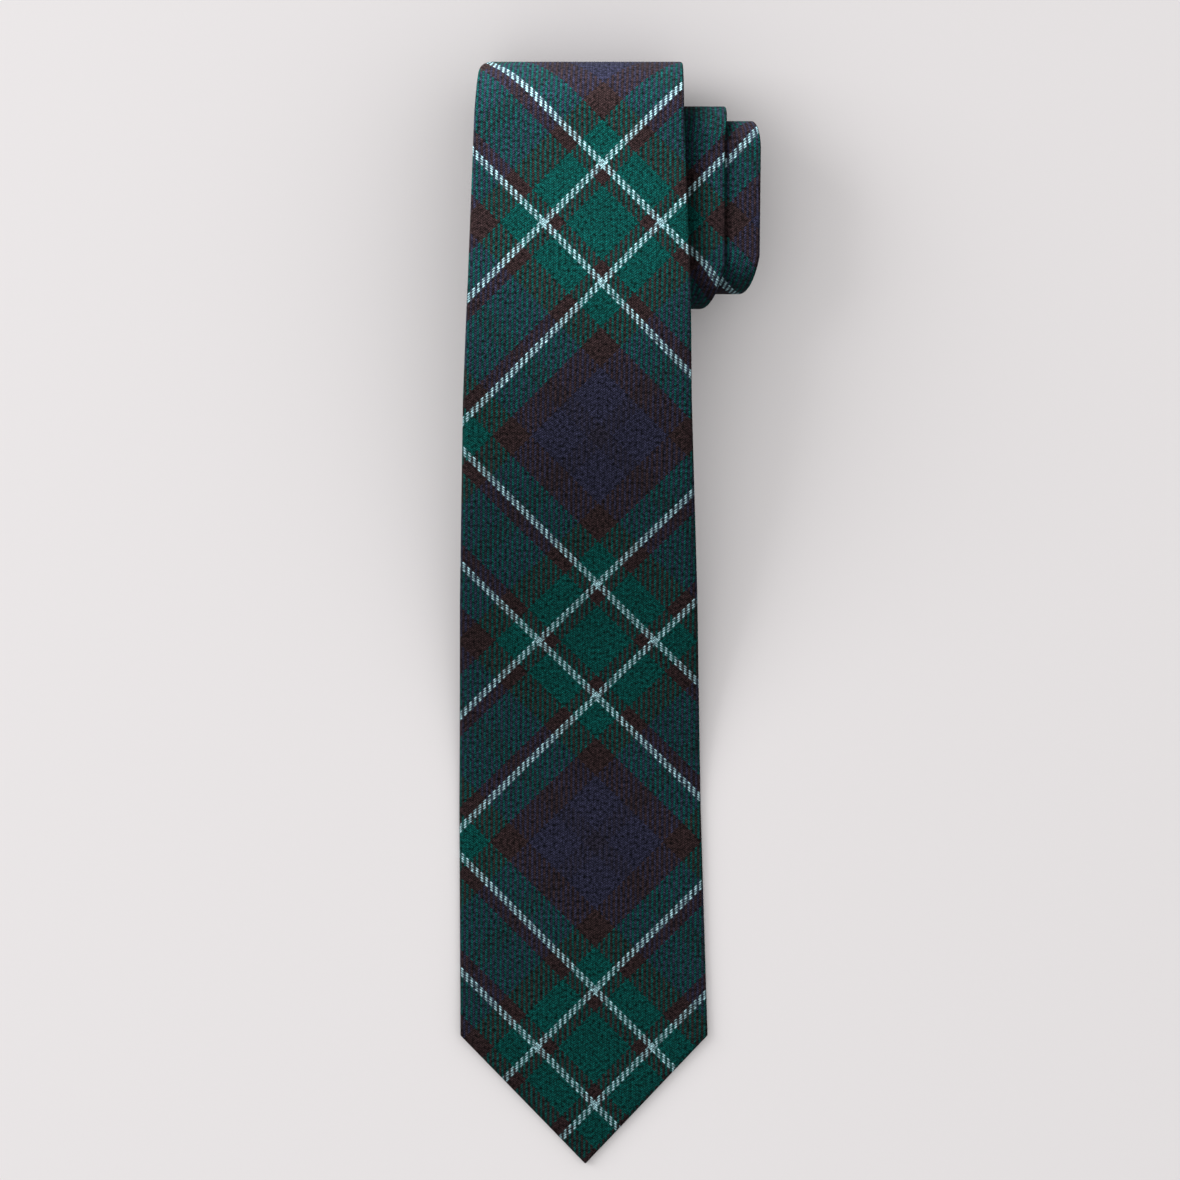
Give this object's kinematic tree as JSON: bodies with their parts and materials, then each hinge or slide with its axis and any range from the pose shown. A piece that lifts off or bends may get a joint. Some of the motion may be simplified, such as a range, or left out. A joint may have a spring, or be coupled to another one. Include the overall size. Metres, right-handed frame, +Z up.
{
  "type": "necktie",
  "caption": "Lined tartan wool necktie rolled into a flat coil, with its front blade laid out, creases along the blade and a core that slides out sideways.",
  "frame": {"origin": "under the middle of the object, on the surface it lies on", "axes": "+Y from the point of the blade to the coil, +X across the tie to the side where the inner turns slide out, +Z up from the face of the blade"},
  "size_m": [0.0968, 0.3544, 0.036],
  "materials": {
    "tartan_wool": "tartan wool twill in green, navy and black with pale blue lines",
    "interlining": "plain woven wool interlining",
    "tipping_satin": "dark navy satin lining",
    "sewing_thread": "dark twisted sewing thread",
    "label_satin": "blank white satin ribbon"
  },
  "bodies": {
    "roll": {"shell_roll": "tartan_wool", "neck_shell_roll": "tartan_wool", "interlining_roll": "interlining", "seam_stitches_roll": "sewing_thread"},
    "core": {"neck_shell_core": "tartan_wool", "tail_shell_core": "tartan_wool", "interlining_core": "interlining", "tail_tipping": "tipping_satin", "tail_bar_tack": "sewing_thread", "seam_stitches_core": "sewing_thread"},
    "blade_upper": {"shell_upper": "tartan_wool", "interlining_upper": "interlining", "seam_stitches_upper": "sewing_thread", "keeper_loop": "tartan_wool", "keeper_stitches": "sewing_thread", "care_label": "label_satin", "label_stitches": "sewing_thread"},
    "blade_middle": {"shell_middle": "tartan_wool", "interlining_middle": "interlining", "seam_stitches_middle": "sewing_thread"},
    "blade_tip": {"shell_tip": "tartan_wool", "interlining_tip": "interlining", "blade_tipping": "tipping_satin", "blade_bar_tack": "sewing_thread"}
  },
  "joints": [
    {"name": "blade_lift", "type": "hinge", "parent": "roll", "child": "blade_upper", "pos_m": [-0.00906, 0.10638, 0.036], "axis": [-1, 0, 0], "range_deg": [0, 70]},
    {"name": "blade_fold", "type": "hinge", "parent": "blade_upper", "child": "blade_middle", "pos_m": [-0.00934, 0.01674, 0.01749], "axis": [-1, 0, 0], "range_deg": [0, 80]},
    {"name": "tip_curl", "type": "hinge", "parent": "blade_middle", "child": "blade_tip", "pos_m": [-0.00886, -0.06318, 0.00172], "axis": [-1, 0, 0], "range_deg": [0, 70]},
    {"name": "core_slide", "type": "slide", "parent": "roll", "child": "core", "axis": [1, 0, 0], "range_m": [-0.028, 0.012]}
  ]
}
